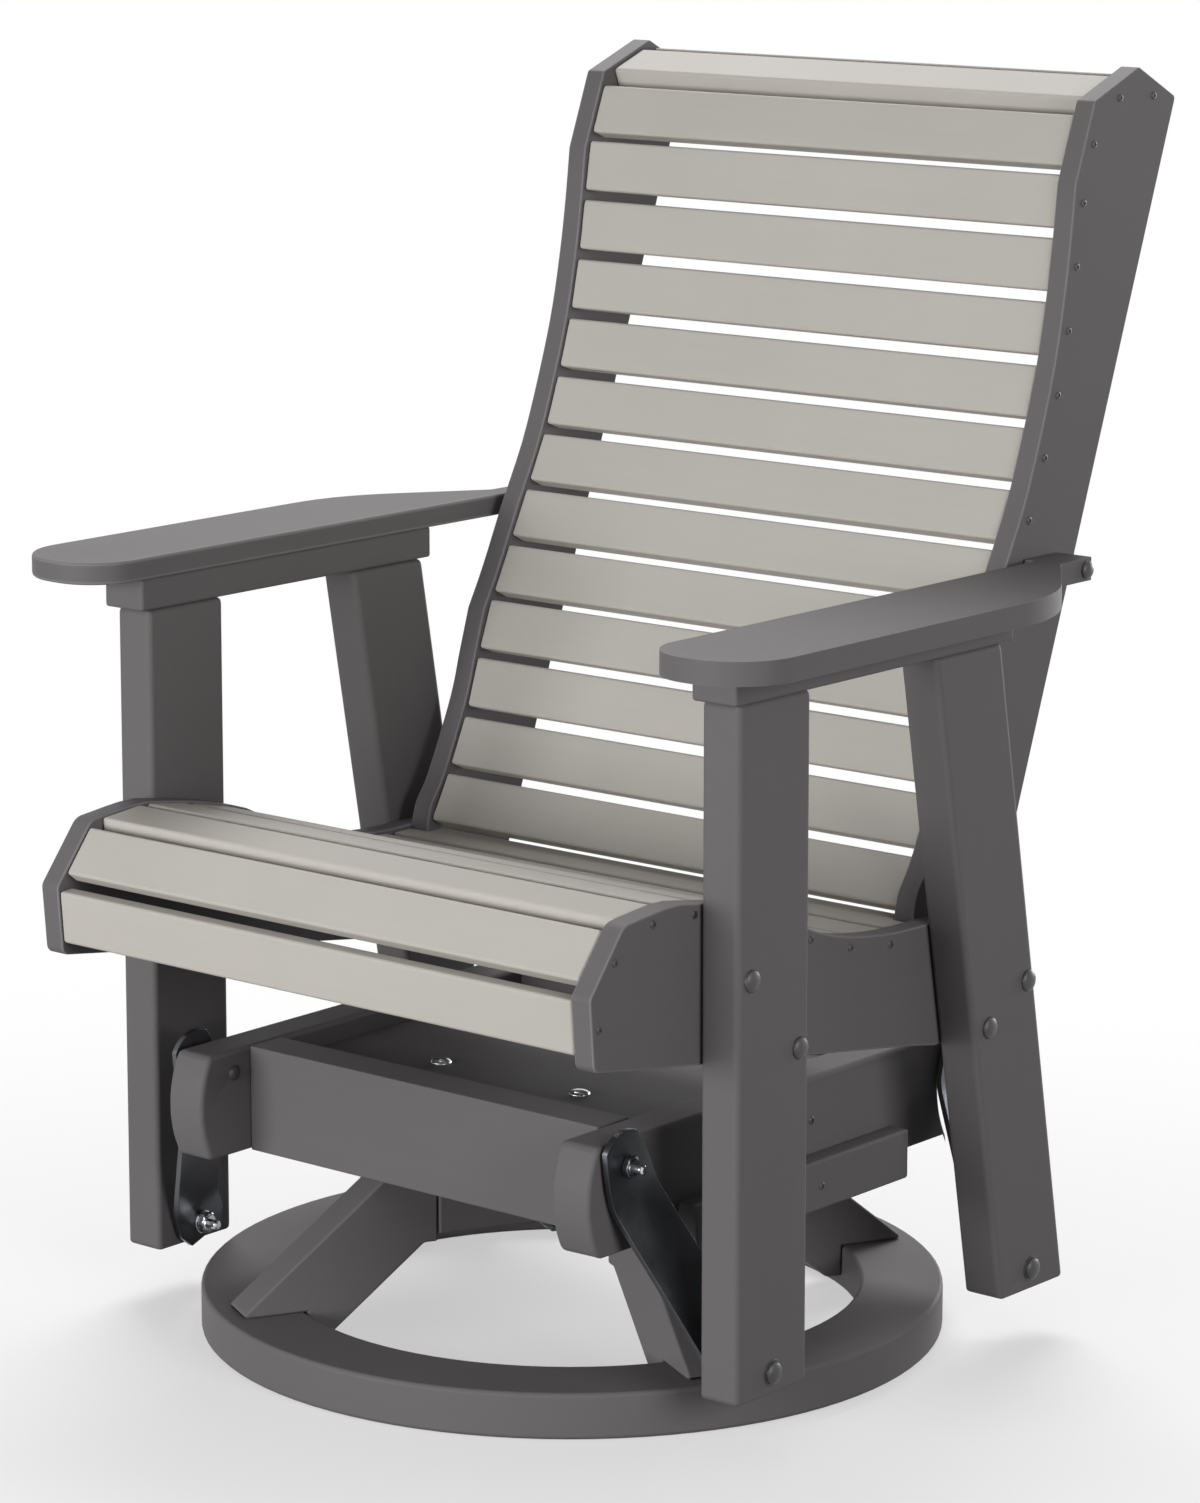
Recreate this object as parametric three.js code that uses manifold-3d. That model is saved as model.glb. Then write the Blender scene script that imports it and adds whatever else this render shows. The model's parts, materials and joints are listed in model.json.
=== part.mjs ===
// A swivel glider armchair in plastic lumber. Millimetres, +Z up, the seat faces -Y.
// Side outlines are drawn in (y, z) with y measured from the swivel axis and z from the floor.
import * as THREE from 'three';
import { mergeVertices } from 'three/addons/utils/BufferGeometryUtils.js';
import Module from 'manifold-3d';

const wasm = await Module();
wasm.setup();

// Shared stock and gaps
const touchGap = 0.3;
const overrun = 20;
const thinBoard = 19.05;
const thickBoard = 38.1;
const wideBoard = 88.9;
const slatWidth = 43.8;
const roundSides = 24;
const outlineSteps = 10;
const curveSteps = 30;

// Ring and legs
const ringOuterRadius = 309.85;
const ringInnerRadius = 240.95;
const ringThickness = 38.1;
const ringSides = 96;
const legCount = 4;
const legWidth = 66.7;
const legTilt = THREE.MathUtils.degToRad(39.7);
const legTipInset = 15.85;
const legTipHeight = 3.6;
const legFloorGap = 12;
const baseTurn = THREE.MathUtils.degToRad(-28);

// Hub on the legs
const hubReach = 125.6;
const hubBottom = 90.5;
const hubBoardHeight = 57.2;
const legHeelDrop = 5.5;
const hubPlateSize = 60;
const hubPlateThickness = 5;

// Swivel unit
const swivelHeight = 35.9;
const swivelPlateSize = 178;
const swivelPlateThickness = 4.8;
const raceRadius = 60;
const raceWidth = 7;
const raceWall = 6;
const raceEndGap = 2.4;

// Undercarriage
const railInner = 188;
const railFrontOverhang = 39;
const railEndRadius = 88.9;
const railBodyLength = 455;
const hangerDepth = 18.9;
const crossBoardSpan = 380;
const swivelBoardSink = 18.1;
const skirtLength = 279;
const skirtHeight = 41.8;
const skirtDrop = 16.3;

// Swing arms
const armDrop = 160;
const frontArmLean = 58.4;
const rearArmLean = 34.4;
const armWidth = 53;
const armPlate = 4.8;
const armSpacer = 3;
const armTopFlat = 28;
const armFootFlat = 17;
const armFootEnd = 20;
const armFootNose = 27;
const pinRadius = 4.76;
const pinHeadRadius = 9;
const pinHeadHeight = 4.5;
const pinStub = 13;
const nutRadius = 8.5;
const nutHeight = 7;
const spacerRadius = 12.7;
const pivotClearance = 0.3;
const openPivotClearance = 2.3;
const openPivotOffset = 1.75;

// Posts
const frontPostSetback = 150.25;
const pivotSpan = 345.65;
const pivotAboveFoot = 18.2;
const postHeight = 550.55;
const rearPostTilt = THREE.MathUtils.degToRad(10.26);

// Seat
const seatHalfWidth = 273;
const seatRailReach = 128.5;
const seatRailLift = 218.7;
const seatRailLength = 533.2;
const seatRailRise = 178;
const seatFrontRadius = 8;
const seatKneeRadius = 15;
const seatRearRadius = 12;
const seatSlatThickness = 14.3;
const seatSlatRecess = 1;
const seatSlatRecessStep = 0.3;
const seatSlatPitch = 52;
const seatFrontSlatRise = 3.1;
const seatBevelSlatRise = 4.3;
const seatFirstSlat = 33.4;
const seatTopSlats = 8;
const seatFrontShares = [[0.009, 0.373], [0, 0.696], [0.074, 0.972]];
const seatTopShares = [
  [0.074, 0.972], [0.18, 1], [0.24, 0.978], [0.315, 0.938], [0.407, 0.865], [0.456, 0.795],
  [0.503, 0.716], [0.574, 0.646], [0.646, 0.607], [0.724, 0.584], [0.841, 0.579], [1, 0.579],
];
const seatBottomShares = [[1, 0], [0.812, 0], [0.752, 0.034]];

// Back
const stileSetback = 427.7;
const stileDepth = 358.1;
const stileHeight = 772.6;
const stileCornerRadius = 4;
const backSlatRecess = 3;
const backSlatPitch = 52.5;
const backFirstSlat = 33;
const stileLumbarShares = [
  [0, 0.137], [0.015, 0.159], [0.0545, 0.185], [0.112, 0.239], [0.1514, 0.2812], [0.1765, 0.32],
  [0.2112, 0.3703],
];
const stileShoulderShares = [
  [0.2112, 0.3703], [0.2511, 0.4027], [0.2877, 0.4356], [0.3332, 0.4789], [0.3729, 0.5128],
  [0.4214, 0.5573], [0.4781, 0.6256], [0.5262, 0.6945], [0.56, 0.7644], [0.5809, 0.8233],
  [0.5968, 0.8823],
];
const stileCrownShares = [[0.669, 0.968], [0.848, 1], [1, 0.9645]];
const stileHeelShare = 0.229;

// Armrests
const cleatHeight = 27.2;
const cleatWidth = 43.7;
const cleatInset = 1.45;
const cleatFrontOverhang = 9.4;
const cleatRearOverhang = 8.3;
const armrestThickness = 19.05;
const armrestInset = 7.35;
const armrestWidth = 107;
const armrestFrontOverhang = 68.3;
const armrestLength = 561;
const armrestOuterRadius = 55;
const armrestInnerRadius = 44;
const armrestShoulderRadius = 160;
const armrestShoulderRun = 115.6;
const tongueLength = 46;
const tongueWidth = 36.5;
const tongueNotch = 2;
const tongueRadius = 3;

// Heights, from the floor up
const hubTop = hubBottom + hubBoardHeight;
const swivelUnitBottom = hubTop + touchGap;
const swivelBoardBottom = swivelUnitBottom + swivelHeight + touchGap;
const swivelBoardTop = swivelBoardBottom + thickBoard;
const railTop = swivelBoardTop + swivelBoardSink;
const railBottom = railTop - wideBoard;
const topPivotZ = railTop - hangerDepth;
const lowPivotZ = topPivotZ - armDrop;
const postFoot = lowPivotZ - pivotAboveFoot;
const postTop = postFoot + postHeight;
const seatBottom = postFoot + seatRailLift;
const armrestBottom = postTop + touchGap + cleatHeight + touchGap;

// Depths, from the swivel axis
const frontPostFront = -frontPostSetback - wideBoard / 2;
const frontLowPivot = new THREE.Vector2(-frontPostSetback, lowPivotZ);
const rearLowPivot = new THREE.Vector2(pivotSpan - frontPostSetback, lowPivotZ);
const frontTopPivot = new THREE.Vector2(frontLowPivot.x - frontArmLean, topPivotZ);
const rearTopPivot = new THREE.Vector2(rearLowPivot.x + rearArmLean, topPivotZ);
const rearPostWidth = wideBoard / Math.cos(rearPostTilt);
const rearPostTopShift = -(postTop - lowPivotZ) * Math.tan(rearPostTilt);
const rearPostFootShift = pivotAboveFoot * Math.tan(rearPostTilt);
const seatFront = frontPostFront - seatRailReach;
const stileFront = seatFront + stileSetback;

// Widths, from the middle plane outwards
const seatRailOuter = seatHalfWidth + thinBoard;
const stileOuter = seatHalfWidth - touchGap;
const stileInner = stileOuter - thinBoard;
const postInner = seatRailOuter + touchGap;
const postOuter = postInner + thickBoard;
const railOuter = railInner + thickBoard;

const lumber = new THREE.MeshStandardMaterial({ color: '#565354', roughness: 0.62, metalness: 0 });
const slatLumber = new THREE.MeshStandardMaterial({ color: '#bbb8b0', roughness: 0.62, metalness: 0 });
const blackSteel = new THREE.MeshStandardMaterial({ color: '#1b1c1e', roughness: 0.42, metalness: 0.6 });
const zincSteel = new THREE.MeshStandardMaterial({ color: '#a9abac', roughness: 0.35, metalness: 0.9 });

const xAxis = new THREE.Vector3(1, 0, 0);
const yAxis = new THREE.Vector3(0, 1, 0);
const zAxis = new THREE.Vector3(0, 0, 1);
const sides = [['right', 1], ['left', -1]];

function piece(name, geometry, material) {
  const mesh = new THREE.Mesh(geometry, material);
  mesh.name = name;
  return mesh;
}

function solid(geometry) {
  const bare = geometry.clone();
  bare.deleteAttribute('normal');
  bare.deleteAttribute('uv');
  const merged = mergeVertices(bare);
  return new wasm.Manifold(new wasm.Mesh({
    numProp: 3,
    vertProperties: Float32Array.from(merged.attributes.position.array),
    triVerts: Uint32Array.from(merged.index.array),
  }));
}

function meshed(manifold) {
  const { vertProperties, triVerts } = manifold.getMesh();
  const geometry = new THREE.BufferGeometry();
  geometry.setAttribute('position', new THREE.BufferAttribute(vertProperties, 3));
  geometry.setIndex(new THREE.BufferAttribute(triVerts, 1));
  geometry.computeVertexNormals();
  return geometry;
}

// Corners are [x, y] or [x, y, radius]; a radius rounds that corner with an arc.
function roundedOutline(corners) {
  const points = [];
  corners.forEach(([x, y, radius], index) => {
    const corner = new THREE.Vector2(x, y);
    if (!radius) {
      points.push(corner);
      return;
    }
    const [beforeX, beforeY] = corners.at(index - 1);
    const [afterX, afterY] = corners[(index + 1) % corners.length];
    const toBefore = new THREE.Vector2(beforeX, beforeY).sub(corner).normalize();
    const toAfter = new THREE.Vector2(afterX, afterY).sub(corner).normalize();
    const halfAngle = Math.acos(toBefore.dot(toAfter)) / 2;
    const start = toBefore.clone().multiplyScalar(radius / Math.tan(halfAngle)).add(corner);
    const middle = toBefore.clone().add(toAfter).normalize()
      .multiplyScalar(radius / Math.sin(halfAngle)).add(corner);
    const turn = (Math.PI - 2 * halfAngle) * Math.sign(toAfter.cross(toBefore));
    for (let step = 0; step <= outlineSteps; step += 1) {
      points.push(start.clone().rotateAround(middle, turn * step / outlineSteps));
    }
  });
  return points;
}

function extruded(points, depth, basis) {
  const geometry = new THREE.ExtrudeGeometry(new THREE.Shape(points), { depth, bevelEnabled: false });
  return geometry.applyMatrix4(basis);
}

// A board standing in the side plane, from innerX outwards on one side.
function sideBoard(points, side, innerX, thickness) {
  const basis = new THREE.Matrix4().makeBasis(yAxis, zAxis, xAxis);
  const startX = side > 0 ? innerX : -innerX - thickness;
  return extruded(points, thickness, basis).translate(startX, 0, 0);
}

function block(from, to) {
  const size = new THREE.Vector3().subVectors(to, from);
  const centre = new THREE.Vector3().addVectors(from, to).divideScalar(2);
  return new THREE.BoxGeometry(size.x, size.y, size.z).translate(centre.x, centre.y, centre.z);
}

// A round bar along X between two distances from the middle plane, on one side.
function crossBar(side, nearX, farX, centre, radius) {
  return new THREE.CylinderGeometry(radius, radius, farX - nearX, roundSides)
    .rotateZ(Math.PI / 2)
    .translate(side * (nearX + farX) / 2, centre.x, centre.y);
}

function drilled(geometry, side, nearX, farX, centre, radius) {
  const drill = crossBar(side, nearX - overrun, farX + overrun, centre, radius);
  return meshed(solid(geometry).subtract(solid(drill)));
}

function lathed(profile, sideCount) {
  const points = profile.map(([radius, height]) => new THREE.Vector2(radius, height));
  return new THREE.LatheGeometry([...points, points[0]], sideCount).rotateX(Math.PI / 2);
}

function ringBetween(innerRadius, outerRadius, bottom, top, sideCount) {
  const profile = [
    [innerRadius, bottom],
    [outerRadius, bottom],
    [outerRadius, top],
    [innerRadius, top],
  ];
  return lathed(profile, sideCount);
}

function plate(size, bottom, thickness) {
  const half = size / 2;
  return block(new THREE.Vector3(-half, -half, bottom), new THREE.Vector3(half, half, bottom + thickness));
}

// Base: ring, legs, crossed hub boards and the plate under them

function leg() {
  const tipRadius = ringOuterRadius - legTipInset;
  const legFoot = ringThickness + touchGap;
  const slope = Math.tan(legTilt);
  const topAt = (radius) => legFoot + legTipHeight + (tipRadius - radius) * slope;
  const undersideDrop = legWidth / Math.cos(legTilt);
  const radiusAt = (height) => tipRadius - (height - legFoot - legTipHeight) / slope;
  const undersideRadiusAt = (height) => radiusAt(height + undersideDrop);
  const wallApothem = ringInnerRadius * Math.cos(Math.PI / ringSides) - touchGap;
  const wallRadius = Math.sqrt(wallApothem ** 2 - (thickBoard / 2) ** 2);
  const heelBottom = hubBottom - legHeelDrop;
  const hubEnd = hubReach + touchGap;
  const outline = [
    [hubEnd, heelBottom],
    [undersideRadiusAt(heelBottom), heelBottom],
    [undersideRadiusAt(legFloorGap), legFloorGap],
    [wallRadius, legFloorGap],
    [wallRadius, legFoot],
    [tipRadius, legFoot],
    [tipRadius, topAt(tipRadius)],
    [radiusAt(hubTop), hubTop],
    [hubEnd, hubTop],
  ];
  const basis = new THREE.Matrix4().makeBasis(xAxis, zAxis, yAxis.clone().negate());
  return extruded(roundedOutline(outline), thickBoard, basis).translate(0, thickBoard / 2, 0);
}

function hubBoard(notchFromTop) {
  const half = thickBoard / 2;
  const lapWidth = half + touchGap;
  const lapMiddle = (hubBottom + hubTop) / 2;
  const lapFrom = notchFromTop ? lapMiddle - touchGap / 2 : hubBottom - overrun;
  const lapTo = notchFromTop ? hubTop + overrun : lapMiddle + touchGap / 2;
  const board = block(
    new THREE.Vector3(-hubReach, -half, hubBottom),
    new THREE.Vector3(hubReach, half, hubTop),
  );
  const notch = block(
    new THREE.Vector3(-lapWidth, -thickBoard, lapFrom),
    new THREE.Vector3(lapWidth, thickBoard, lapTo),
  );
  return meshed(solid(board).subtract(solid(notch)));
}

function buildBase() {
  const base = new THREE.Group();
  base.rotation.z = baseTurn;
  const ring = ringBetween(ringInnerRadius, ringOuterRadius, 0, ringThickness, ringSides);
  base.add(piece('base_ring', ring, lumber));
  for (let index = 0; index < legCount; index += 1) {
    const mesh = piece(`base_leg_${index + 1}`, leg(), lumber);
    mesh.rotation.z = 2 * Math.PI * index / legCount;
    base.add(mesh);
  }
  base.add(piece('hub_board_long', hubBoard(true), lumber));
  const crossing = piece('hub_board_cross', hubBoard(false), lumber);
  crossing.rotation.z = Math.PI / 2;
  base.add(crossing);
  const plateBottom = hubBottom - touchGap - hubPlateThickness;
  base.add(piece('hub_bottom_plate', plate(hubPlateSize, plateBottom, hubPlateThickness), blackSteel));

  const lowerPlate = plate(swivelPlateSize, swivelUnitBottom, swivelPlateThickness);
  const upstand = ringBetween(
    raceRadius - raceWidth / 2 - raceWall,
    raceRadius - raceWidth / 2,
    swivelUnitBottom + swivelPlateThickness / 2,
    swivelUnitBottom + swivelHeight - swivelPlateThickness - raceEndGap,
    roundSides,
  );
  base.add(piece('swivel_lower_plate', meshed(solid(lowerPlate).add(solid(upstand))), zincSteel));
  const race = ringBetween(
    raceRadius - raceWidth / 2 + touchGap,
    raceRadius + raceWidth / 2 - touchGap,
    swivelUnitBottom + swivelPlateThickness + touchGap,
    swivelUnitBottom + swivelHeight - swivelPlateThickness - touchGap,
    roundSides,
  );
  base.add(piece('swivel_ball_race', race, zincSteel));
  return base;
}

// Undercarriage: turns on the swivel and carries the swing arms

function carriageRail(side) {
  const front = frontTopPivot.x - railFrontOverhang;
  const middle = railBottom + wideBoard / 2;
  const frontCentre = front + railEndRadius;
  const cornerAngle = Math.asin(wideBoard / 2 / railEndRadius);
  const points = [];
  for (let step = -outlineSteps; step <= outlineSteps; step += 1) {
    const angle = Math.PI - cornerAngle * step / outlineSteps;
    points.push(new THREE.Vector2(
      frontCentre + railEndRadius * Math.cos(angle),
      middle + railEndRadius * Math.sin(angle),
    ));
  }
  for (let step = 0; step <= outlineSteps; step += 1) {
    const angle = Math.PI / 2 - Math.PI * step / outlineSteps;
    points.push(new THREE.Vector2(
      rearTopPivot.x + hangerDepth * Math.cos(angle),
      rearTopPivot.y + hangerDepth * Math.sin(angle),
    ));
  }
  const scoopCentre = frontCentre + railBodyLength;
  const scoopTop = Math.asin((rearTopPivot.y - hangerDepth - middle) / railEndRadius);
  for (let step = 0; step <= outlineSteps; step += 1) {
    const angle = Math.PI - scoopTop + (scoopTop + cornerAngle) * step / outlineSteps;
    points.push(new THREE.Vector2(
      scoopCentre + railEndRadius * Math.cos(angle),
      middle + railEndRadius * Math.sin(angle),
    ));
  }
  const pinHole = pinRadius + pivotClearance;
  const board = sideBoard(points, side, railInner, thickBoard);
  const frontDrilled = drilled(board, side, railInner, railOuter, frontTopPivot, pinHole);
  return drilled(frontDrilled, side, railInner, railOuter, rearTopPivot, pinHole);
}

function buildCarriage() {
  const carriage = new THREE.Group();
  const boardHalf = railInner - touchGap;
  const crossOuter = crossBoardSpan / 2;
  const crossInner = crossOuter - thickBoard;
  const sheetHalf = crossInner - touchGap;
  for (const [name, side] of sides) {
    carriage.add(piece(`carriage_rail_${name}`, carriageRail(side), lumber));
    const skirtBottom = railBottom - skirtDrop;
    const skirt = block(
      new THREE.Vector3(0, -skirtLength / 2, skirtBottom),
      new THREE.Vector3(thinBoard, skirtLength / 2, skirtBottom + skirtHeight),
    );
    const mesh = piece(`carriage_skirt_${name}`, skirt, lumber);
    mesh.position.x = side > 0 ? railOuter + touchGap : -railOuter - touchGap - thinBoard;
    carriage.add(mesh);
  }
  const board = (nearY, farY, bottom, top) => block(
    new THREE.Vector3(-boardHalf, nearY, bottom),
    new THREE.Vector3(boardHalf, farY, top),
  );
  const frontBoard = board(-crossOuter, -crossInner, railBottom, railTop);
  const rearBoard = board(crossInner, crossOuter, railBottom, railTop);
  const swivelBoard = board(-sheetHalf, sheetHalf, swivelBoardBottom, swivelBoardTop);
  carriage.add(piece('carriage_front_board', frontBoard, lumber));
  carriage.add(piece('carriage_rear_board', rearBoard, lumber));
  carriage.add(piece('swivel_board', swivelBoard, lumber));

  const upperBottom = swivelUnitBottom + swivelHeight - swivelPlateThickness;
  const upperPlate = plate(swivelPlateSize, upperBottom, swivelPlateThickness);
  const skirtRing = ringBetween(
    raceRadius + raceWidth / 2,
    raceRadius + raceWidth / 2 + raceWall,
    swivelUnitBottom + swivelPlateThickness + raceEndGap,
    upperBottom + swivelPlateThickness / 2,
    roundSides,
  );
  carriage.add(piece('swivel_upper_plate', meshed(solid(upperPlate).add(solid(skirtRing))), zincSteel));
  return carriage;
}

// Swing arms: a joggled steel strip with a pin at each end

function swingArm(side, top, foot) {
  const along = new THREE.Vector3(0, foot.x - top.x, foot.y - top.y);
  const length = along.length();
  along.normalize();
  const across = new THREE.Vector3().crossVectors(along, xAxis);
  const topX = railOuter + armSpacer;
  const footX = postInner - armSpacer - armPlate;
  const half = armWidth / 2;
  const origin = new THREE.Vector3(0, top.x, top.y);

  const stripPoints = [
    [-half - overrun, topX],
    [armTopFlat, topX],
    [length - armFootFlat, footX],
    [length + armFootEnd + overrun, footX],
    [length + armFootEnd + overrun, footX + armPlate],
    [length - armFootFlat, footX + armPlate],
    [armTopFlat, topX + armPlate],
    [-half - overrun, topX + armPlate],
  ].map(([u, x]) => new THREE.Vector2(u, side * x));
  const stripBasis = new THREE.Matrix4().makeBasis(along, xAxis, across);
  const strip = extruded(stripPoints, armWidth, stripBasis).translate(
    -across.x * half + origin.x,
    -across.y * half + origin.y,
    -across.z * half + origin.z,
  );

  const facePoints = [];
  for (let step = 0; step <= roundSides; step += 1) {
    const angle = Math.PI / 2 + Math.PI * step / roundSides;
    facePoints.push(new THREE.Vector2(half * Math.cos(angle), half * Math.sin(angle)));
  }
  const nose = armFootNose / 2;
  facePoints.push(new THREE.Vector2(length, -half));
  facePoints.push(new THREE.Vector2(length + armFootEnd, -nose));
  facePoints.push(new THREE.Vector2(length + armFootEnd, nose));
  facePoints.push(new THREE.Vector2(length, half));
  const faceBasis = new THREE.Matrix4().makeBasis(along, across.clone().negate(), xAxis);
  const face = extruded(facePoints, 2 * postOuter, faceBasis)
    .translate(origin.x - postOuter, origin.y, origin.z);

  const stack = [
    [railInner - touchGap - pinHeadHeight, railInner - touchGap, top, pinHeadRadius],
    [railInner - pinHeadHeight, topX + armPlate + nutHeight + pinStub / 2, top, pinRadius],
    [railOuter + touchGap, topX + armPlate / 2, top, spacerRadius],
    [topX + armPlate / 2, topX + armPlate + nutHeight, top, nutRadius],
    [postOuter + touchGap, postOuter + touchGap + pinHeadHeight, foot, pinHeadRadius],
    [footX - nutHeight - pinStub, postOuter + pinHeadHeight, foot, pinRadius],
    [footX + armPlate / 2, postInner - touchGap, foot, spacerRadius],
    [footX - nutHeight, footX + armPlate / 2, foot, nutRadius],
  ];
  let body = solid(strip).intersect(solid(face));
  for (const [nearX, farX, centre, radius] of stack) {
    body = body.add(solid(crossBar(side, nearX, farX, centre, radius)));
  }
  return meshed(body);
}

function buildSwingArms() {
  const arms = new THREE.Group();
  for (const [name, side] of sides) {
    arms.add(piece(`swing_arm_front_${name}`, swingArm(side, frontTopPivot, frontLowPivot), blackSteel));
    arms.add(piece(`swing_arm_rear_${name}`, swingArm(side, rearTopPivot, rearLowPivot), blackSteel));
  }
  return arms;
}

// Chair: seat rails, stiles, slats, posts, cleats and armrests

const seatPoint = ([depthShare, riseShare]) => new THREE.Vector2(
  seatFront + depthShare * seatRailLength,
  seatBottom + riseShare * seatRailRise,
);
const seatFrontLine = seatFrontShares.map(seatPoint);
const seatTopCurve = new THREE.SplineCurve(seatTopShares.map(seatPoint));
const seatPath = new THREE.CurvePath();
seatPath.add(seatTopCurve);

const stilePoint = ([depthShare, riseShare]) => new THREE.Vector2(
  stileFront + depthShare * stileDepth,
  seatBottom + riseShare * stileHeight,
);
const lumbarCurve = new THREE.SplineCurve(stileLumbarShares.map(stilePoint));
const shoulderCurve = new THREE.SplineCurve(stileShoulderShares.map(stilePoint));
const crown = stileCrownShares.map(stilePoint);
const backPath = new THREE.CurvePath();
backPath.add(lumbarCurve);
backPath.add(shoulderCurve);
backPath.add(new THREE.LineCurve(shoulderCurve.points.at(-1), crown[0]));

function seatRail(side) {
  const [low, nose, knee] = seatFrontLine;
  const curvePoints = seatTopCurve.getSpacedPoints(curveSteps).slice(1, -1);
  const rearTop = seatTopCurve.points.at(-1);
  const corners = [
    [low.x, low.y, seatFrontRadius],
    [nose.x, nose.y, seatFrontRadius],
    [knee.x, knee.y, seatKneeRadius],
    ...curvePoints.map(({ x, y }) => [x, y]),
    [rearTop.x, rearTop.y, seatRearRadius],
  ];
  seatBottomShares.map(seatPoint).forEach(({ x, y }, index) => {
    corners.push(index ? [x, y] : [x, y, seatRearRadius]);
  });
  return sideBoard(roundedOutline(corners), side, seatHalfWidth, thinBoard);
}

function stile(side) {
  const curvePoints = [
    ...lumbarCurve.getSpacedPoints(curveSteps),
    ...shoulderCurve.getSpacedPoints(curveSteps).slice(1),
  ];
  const corners = [
    [stileFront, seatBottom, stileCornerRadius],
    ...curvePoints.map(({ x, y }) => [x, y]),
    ...crown.map(({ x, y }) => [x, y, stileCornerRadius]),
    [stileFront + stileHeelShare * stileDepth, seatBottom, stileCornerRadius],
  ];
  return sideBoard(roundedOutline(corners), side, stileInner, thinBoard);
}

const seatStock = { thickness: seatSlatThickness, recess: seatSlatRecess };
const backStock = { thickness: thinBoard, recess: backSlatRecess };

// A slat lies with its face a recess under the line from start to end, centred on that line.
// A grown slat is the space that a neighbour keeps free of it.
function slat(start, end, halfLength, { thickness, recess }, growth = 0) {
  const angle = Math.atan2(end.y - start.y, end.x - start.x);
  const sink = recess + thickness / 2;
  const centreY = (start.x + end.x) / 2 + sink * Math.sin(angle);
  const centreZ = (start.y + end.y) / 2 - sink * Math.cos(angle);
  const grown = 2 * growth;
  return new THREE.BoxGeometry(2 * halfLength + grown, slatWidth + grown, thickness + grown)
    .rotateX(angle)
    .translate(0, centreY, centreZ);
}

function slatOnPath(path, distance, halfLength, stock) {
  const length = path.getLength();
  const start = path.getPoint((distance - slatWidth / 2) / length);
  const end = path.getPoint((distance + slatWidth / 2) / length);
  return slat(start, end, halfLength, stock);
}

function addSeatSlats(chair) {
  const half = seatHalfWidth - touchGap;
  const [low, nose, knee] = seatFrontLine;
  const risenSlat = (from, to, rise, growth) => {
    const shift = to.clone().sub(from).setLength(rise);
    return slat(from.clone().add(shift), to.clone().add(shift), half, seatStock, growth);
  };
  const front = solid(risenSlat(low, nose, seatFrontSlatRise));
  const bevelSpace = solid(risenSlat(nose, knee, seatBevelSlatRise, touchGap));
  const bevel = risenSlat(nose, knee, seatBevelSlatRise);
  chair.add(piece('seat_slat_front', meshed(front.subtract(bevelSpace)), slatLumber));
  chair.add(piece('seat_slat_bevel', bevel, slatLumber));
  for (let index = 0; index < seatTopSlats; index += 1) {
    const recess = seatSlatRecess + index * seatSlatRecessStep;
    const distance = seatFirstSlat + index * seatSlatPitch;
    let geometry = slatOnPath(seatPath, distance, half, { ...seatStock, recess });
    geometry.computeBoundingBox();
    if (geometry.boundingBox.max.y > stileFront - touchGap) {
      for (const [, side] of sides) {
        const nearX = stileInner - touchGap;
        const notch = block(
          new THREE.Vector3(side > 0 ? nearX : -half - overrun, stileFront - touchGap, seatBottom),
          new THREE.Vector3(side > 0 ? half + overrun : -nearX, stileFront + stileDepth, postTop),
        );
        geometry = meshed(solid(geometry).subtract(solid(notch)));
      }
    }
    chair.add(piece(`seat_slat_${index + 1}`, geometry, slatLumber));
  }
}

function addBackSlats(chair) {
  const half = stileInner - touchGap;
  const total = backPath.getLength();
  const backSlats = Math.floor((total - backFirstSlat - slatWidth / 2) / backSlatPitch) + 1;
  for (let index = 0; index < backSlats; index += 1) {
    const distance = total - backFirstSlat - index * backSlatPitch;
    const geometry = slatOnPath(backPath, distance, half, backStock);
    chair.add(piece(`back_slat_${index + 1}`, geometry, slatLumber));
  }
  chair.add(piece('cap_slat_front', slat(crown[0], crown[1], half, backStock), slatLumber));
  chair.add(piece('cap_slat_rear', slat(crown[1], crown[2], half, backStock), slatLumber));
}

function frontPost(side) {
  const outline = [
    [frontPostFront, postFoot],
    [frontPostFront + wideBoard, postFoot],
    [frontPostFront + wideBoard, postTop],
    [frontPostFront, postTop],
  ];
  const board = sideBoard(roundedOutline(outline), side, postInner, thickBoard);
  return drilled(board, side, postInner, postOuter, frontLowPivot, pinRadius + pivotClearance);
}

// The four-bar loop is open at the rear lower pivot, so the hole there is wide and off-centre.
function rearPost(side) {
  const half = rearPostWidth / 2;
  const footMiddle = rearLowPivot.x + rearPostFootShift;
  const topMiddle = rearLowPivot.x + rearPostTopShift;
  const outline = [
    [footMiddle - half, postFoot],
    [footMiddle + half, postFoot],
    [topMiddle + half, postTop],
    [topMiddle - half, postTop],
  ];
  const board = sideBoard(roundedOutline(outline), side, postInner, thickBoard);
  const holeCentre = new THREE.Vector2(rearLowPivot.x + openPivotOffset, rearLowPivot.y);
  return drilled(board, side, postInner, postOuter, holeCentre, pinRadius + openPivotClearance);
}

function cleat(side) {
  const nearX = postInner - cleatInset;
  const front = frontPostFront - cleatFrontOverhang;
  const rear = rearLowPivot.x + rearPostTopShift + rearPostWidth / 2 + cleatRearOverhang;
  const bottom = postTop + touchGap;
  const outline = [
    [front, bottom],
    [rear, bottom],
    [rear, bottom + cleatHeight],
    [front, bottom + cleatHeight],
  ];
  return sideBoard(roundedOutline(outline), side, nearX, cleatWidth);
}

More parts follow.
